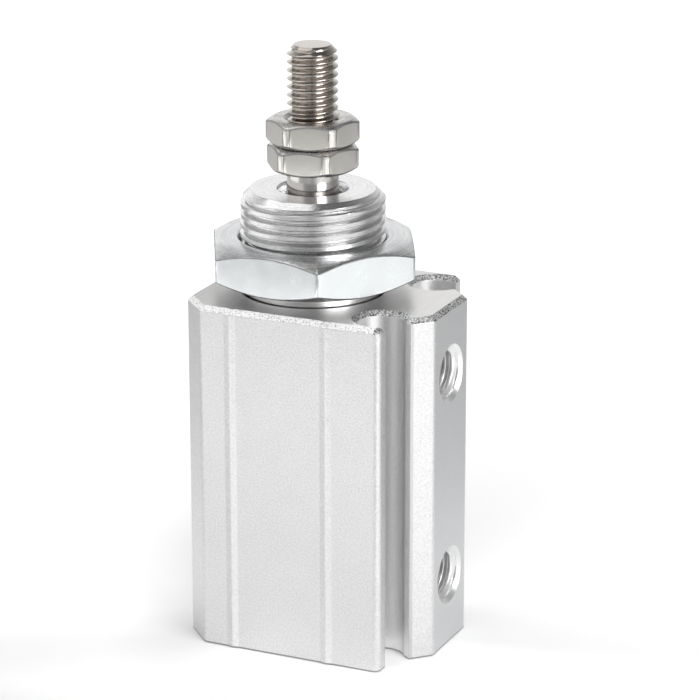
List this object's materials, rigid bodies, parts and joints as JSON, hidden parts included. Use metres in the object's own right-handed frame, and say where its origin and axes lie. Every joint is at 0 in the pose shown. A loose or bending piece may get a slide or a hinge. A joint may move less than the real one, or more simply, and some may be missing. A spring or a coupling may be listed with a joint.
{
  "type": "pneumatic cylinder",
  "caption": "Compact pneumatic cylinder in a blasted aluminium barrel, with a threaded nose and panel nut, a threaded rod with jam nuts, side ports and sensor slots.",
  "frame": {"origin": "middle of the bore in the rear face, on the rod axis", "axes": "+Z out along the rod, +X towards the face with the ports, -Y towards the ridged front"},
  "size_m": [0.0255, 0.0204, 0.0585],
  "materials": {
    "blasted_aluminium": "bead blasted and clear anodised",
    "turned_aluminium": "turned, bright, fine turning lines",
    "zinc_plate": "bright zinc plate with a faint blue tint",
    "nickel_plate": "nickel plated steel, warm grey",
    "rod_steel": "ground and polished stainless steel",
    "spring_steel": "phosphated spring steel",
    "bush_bronze": "sintered bronze",
    "black_rubber": "matt nitrile rubber",
    "wear_plastic": "filled acetal",
    "magnet": "plastic-bonded ferrite"
  },
  "bodies": {
    "barrel": {"body": "blasted_aluminium", "front_cover": "turned_aluminium", "front_cover_o_ring": "black_rubber", "rod_bush": "bush_bronze", "rod_seal": "black_rubber", "front_bumper": "black_rubber", "rear_bumper": "black_rubber", "rear_cover": "turned_aluminium", "rear_cover_o_ring": "black_rubber", "rear_snap_ring": "spring_steel"},
    "piston_rings": {"piston_seal": "black_rubber", "wear_ring": "wear_plastic"},
    "rod": {"piston_rod": "rod_steel", "piston_front": "turned_aluminium", "piston_rear": "turned_aluminium", "magnet_ring": "magnet", "piston_o_ring": "black_rubber", "piston_nut": "zinc_plate"},
    "mounting_nut": {"mounting_nut": "zinc_plate"},
    "lower_nut": {"rod_nut_lower": "nickel_plate"},
    "upper_nut": {"rod_nut_upper": "nickel_plate"}
  },
  "joints": [
    {"name": "rod_slide", "type": "slide", "parent": "barrel", "child": "piston_rings", "axis": [0, 0, 1], "range_m": [0, 0.01]},
    {"name": "rod_spin", "type": "hinge", "parent": "piston_rings", "child": "rod", "pos_m": [0, 0, 0], "axis": [0, 0, 1], "continuous": true},
    {"name": "mounting_nut_turn", "type": "hinge", "parent": "barrel", "child": "mounting_nut", "pos_m": [0, 0, 0.03785], "axis": [0, 0, 1], "continuous": true},
    {"name": "lower_nut_turn", "type": "hinge", "parent": "rod", "child": "lower_nut", "pos_m": [0, 0, 0.04765], "axis": [0, 0, 1], "continuous": true},
    {"name": "upper_nut_turn", "type": "hinge", "parent": "rod", "child": "upper_nut", "pos_m": [0, 0, 0.0502], "axis": [0, 0, 1], "continuous": true}
  ]
}
